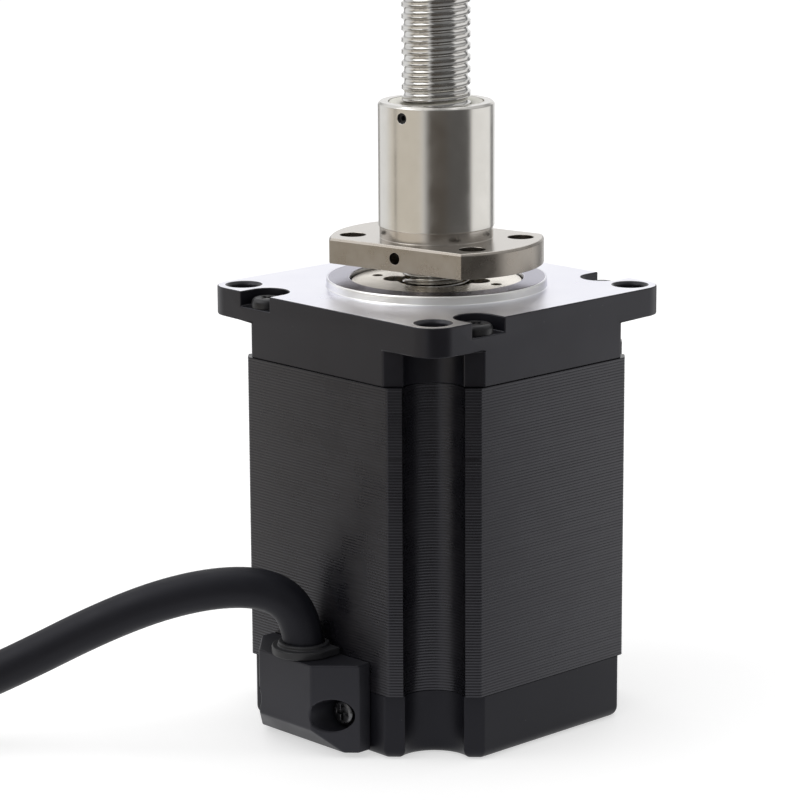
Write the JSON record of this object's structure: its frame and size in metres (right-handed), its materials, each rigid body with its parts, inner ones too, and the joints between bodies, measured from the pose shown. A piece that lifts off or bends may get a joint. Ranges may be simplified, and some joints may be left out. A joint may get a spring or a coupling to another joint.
{
  "type": "ball screw stepper motor",
  "caption": "Square-flanged hybrid stepper motor whose hollow shaft turns a ball screw; a flanged ball nut travels along the screw, with a side cable cover and a coiled lead.",
  "frame": {"origin": "centre of the front mounting face on the screw axis", "axes": "+Z along the screw away from the motor, X and Y square to the motor sides, cable cover on the -Y side"},
  "size_m": [0.0919, 0.2063, 0.2259],
  "materials": {
    "machined_aluminium": "machined top, black paint on the sides",
    "black_laminations": "black coated",
    "black_paint": "satin",
    "black_steel": "black oxide",
    "bobbin_plastic": "matt",
    "copper": "enamelled copper wire",
    "board": "glass-fibre laminate",
    "nickel": "warm plated",
    "brass": "turned",
    "bearing_steel": "polished",
    "black_plastic": "fine matt",
    "bright_screw": "plated",
    "black_rubber": "matt",
    "cable_sheath": "satin PVC",
    "lead_insulation": "coloured",
    "tinned": "tinned",
    "shaft_steel": "turned",
    "magnet": "plated",
    "ground_steel": "ground",
    "nut_steel": "ground body, dark flange",
    "wiper": "cream"
  },
  "bodies": {
    "housing": {"front_end_cap": "machined_aluminium", "stator_core": "black_laminations", "rear_end_cap": "black_paint", "housing_screws": "black_steel", "winding_bobbins": "bobbin_plastic", "phase_windings": "copper", "winding_terminal_board": "board", "front_retainer_ring": "nickel", "preload_wave_washer": "bearing_steel", "front_bearing_outer_ring": "bearing_steel", "rear_bearing_outer_ring": "bearing_steel", "cable_cover": "black_plastic", "cable_cover_screws": "bright_screw", "cable_gland": "black_rubber", "internal_leads": "lead_insulation", "motor_cable": "cable_sheath", "cable_coil": "cable_sheath", "cable_end_sleeve": "black_rubber", "cable_leads": "lead_insulation", "lead_ferrules": "tinned"},
    "rotor": {"ball_screw": "ground_steel", "hollow_shaft": "shaft_steel", "screw_lock_nut": "brass", "rotor_front_cup": "shaft_steel", "rotor_rear_cup": "shaft_steel", "rotor_magnet": "magnet", "front_bearing_inner_ring": "bearing_steel", "rear_bearing_inner_ring": "bearing_steel"},
    "nut": {"ball_nut": "nut_steel", "ball_returns": "nut_steel", "nut_balls": "bearing_steel", "nut_upper_wiper": "wiper", "nut_lower_wiper": "wiper", "wiper_set_screw": "bright_screw"},
    "front_balls": {"front_bearing_balls": "bearing_steel", "front_bearing_cage": "bearing_steel"},
    "rear_balls": {"rear_bearing_balls": "bearing_steel", "rear_bearing_cage": "bearing_steel"}
  },
  "joints": [
    {"name": "screw_spin", "type": "hinge", "parent": "housing", "child": "rotor", "pos_m": [0, 0, 0], "axis": [0, 0, 1], "range_deg": [-18000, 0]},
    {"name": "nut_travel", "type": "slide", "parent": "housing", "child": "nut", "axis": [0, 0, 1], "range_m": [0, 0.1001]},
    {"name": "front_cage_spin", "type": "hinge", "parent": "housing", "child": "front_balls", "pos_m": [0, 0, 0], "axis": [0, 0, 1], "range_deg": [-7344, 0]},
    {"name": "rear_cage_spin", "type": "hinge", "parent": "housing", "child": "rear_balls", "pos_m": [0, 0, 0], "axis": [0, 0, 1], "range_deg": [-7344, 0]}
  ],
  "couplings": [
    {"joint": "nut_travel", "follows": "screw_spin", "m_per_rad": -0.00031831},
    {"joint": "front_cage_spin", "follows": "screw_spin", "ratio": 0.4077},
    {"joint": "rear_cage_spin", "follows": "screw_spin", "ratio": 0.4077}
  ]
}
